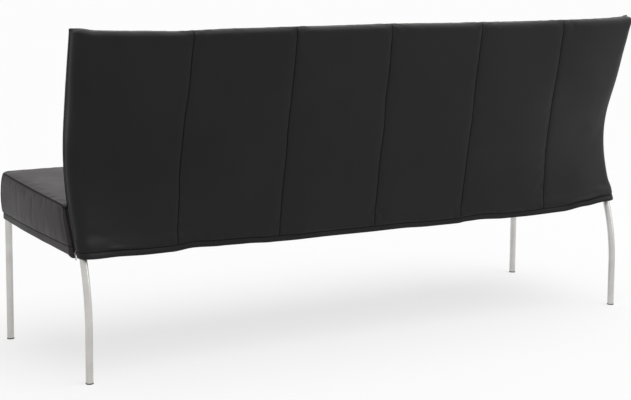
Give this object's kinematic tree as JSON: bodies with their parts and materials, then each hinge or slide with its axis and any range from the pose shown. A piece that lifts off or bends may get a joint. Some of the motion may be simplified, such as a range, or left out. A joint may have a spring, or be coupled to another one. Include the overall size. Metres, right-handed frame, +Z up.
{
  "type": "dining sofa",
  "caption": "Long armless dining sofa in black leather look: padded seat slab, high leaning back with waisted ends and sewn panels, round steel legs.",
  "frame": {"origin": "on the floor under the middle of the bounding box", "axes": "+X to the left of a person who sits on it, -Y to the front, +Z up"},
  "size_m": [1.88, 0.62, 0.9277],
  "materials": {
    "seat_leather": "soft leather look, satin",
    "back_leather": "soft leather look, satin",
    "lining": "black non-woven cloth",
    "timber": "planed softwood",
    "foam": "open-cell foam",
    "strap": "elastic webbing",
    "leg_steel": "satin stainless steel",
    "inner_steel": "black painted steel",
    "glide_plastic": "matt plastic",
    "zip_coil": "black coil zip",
    "zip_metal": "satin metal"
  },
  "bodies": {
    "sofa": {"seat_panel_1": "seat_leather", "seat_panel_2": "seat_leather", "seat_panel_3": "seat_leather", "seat_panel_4": "seat_leather", "seat_panel_5": "seat_leather", "seat_panel_6": "seat_leather", "front_panel_1": "back_leather", "front_panel_2": "back_leather", "front_panel_3": "back_leather", "front_panel_4": "back_leather", "front_panel_5": "back_leather", "front_panel_6": "back_leather", "rear_panel_1": "back_leather", "rear_panel_2": "back_leather", "rear_panel_3": "back_leather", "rear_panel_4": "back_leather", "rear_panel_5": "back_leather", "rear_panel_6": "back_leather", "seat_border_left": "seat_leather", "seat_border_right": "seat_leather", "seat_border_front": "seat_leather", "side_bands": "seat_leather", "front_band": "seat_leather", "rear_hem": "back_leather", "bottom_flap": "lining", "dust_cover": "lining", "staples": "inner_steel", "seat_foam": "foam", "side_foam": "foam", "seat_felt": "lining", "seat_webbing": "strap", "front_rail": "timber", "rear_rail": "timber", "side_rails": "timber", "cross_rails": "timber", "corner_blocks": "timber", "back_foam": "foam", "back_webbing": "strap", "end_upright_left": "inner_steel", "end_upright_right": "inner_steel", "middle_posts": "inner_steel", "top_rail": "inner_steel", "post_brackets": "inner_steel", "bracket_bolts": "inner_steel", "front_leg_left": "leg_steel", "front_leg_right": "leg_steel", "rear_leg_left": "leg_steel", "rear_leg_right": "leg_steel", "leg_plates": "inner_steel", "leg_screws": "inner_steel", "glide_front_left": "glide_plastic", "glide_front_right": "glide_plastic", "glide_rear_left": "glide_plastic", "glide_rear_right": "glide_plastic", "zip_left": "zip_coil", "zip_right": "zip_coil", "zip_sliders": "zip_metal"},
    "pull_left": {"pull_left": "zip_metal"},
    "pull_right": {"pull_right": "zip_metal"}
  },
  "joints": [
    {"name": "pull_left_swing", "type": "hinge", "parent": "sofa", "child": "pull_left", "pos_m": [0.91649, 0.19623, 0.33923], "axis": [0, -0.9267, -0.3757], "range_deg": [0, 160]},
    {"name": "pull_right_swing", "type": "hinge", "parent": "sofa", "child": "pull_right", "pos_m": [-0.91649, 0.19623, 0.33923], "axis": [0, 0.9267, 0.3757], "range_deg": [0, 160]}
  ]
}
